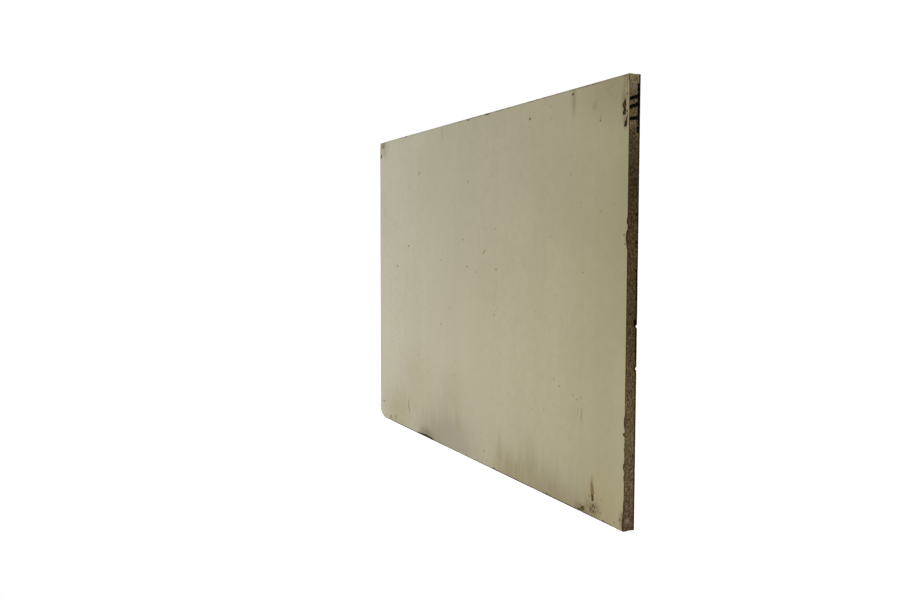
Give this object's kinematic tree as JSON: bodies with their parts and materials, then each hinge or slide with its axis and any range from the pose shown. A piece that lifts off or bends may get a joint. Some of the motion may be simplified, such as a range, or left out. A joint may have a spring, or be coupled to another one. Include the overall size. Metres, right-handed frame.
{
  "type": "stone-look wall panel",
  "caption": "Flat rectangular wall panel: a satin stone-coloured facing on a chipboard core with a dark backing sheet, cut edges bare, one corner worn round.",
  "frame": {"origin": "centre of the back face, which is the bottom of the panel as it lies flat", "axes": "+X along the length, towards the bare cut end; +Y across the width; +Z out of the finished face"},
  "size_m": [0.9, 0.6, 0.018],
  "materials": {
    "stone_facing": "satin",
    "chipboard": "matte",
    "dark_backing": "matte"
  },
  "bodies": {
    "root": {"face_laminate": "stone_facing", "core_board": "chipboard", "back_laminate": "dark_backing"}
  },
  "joints": []
}
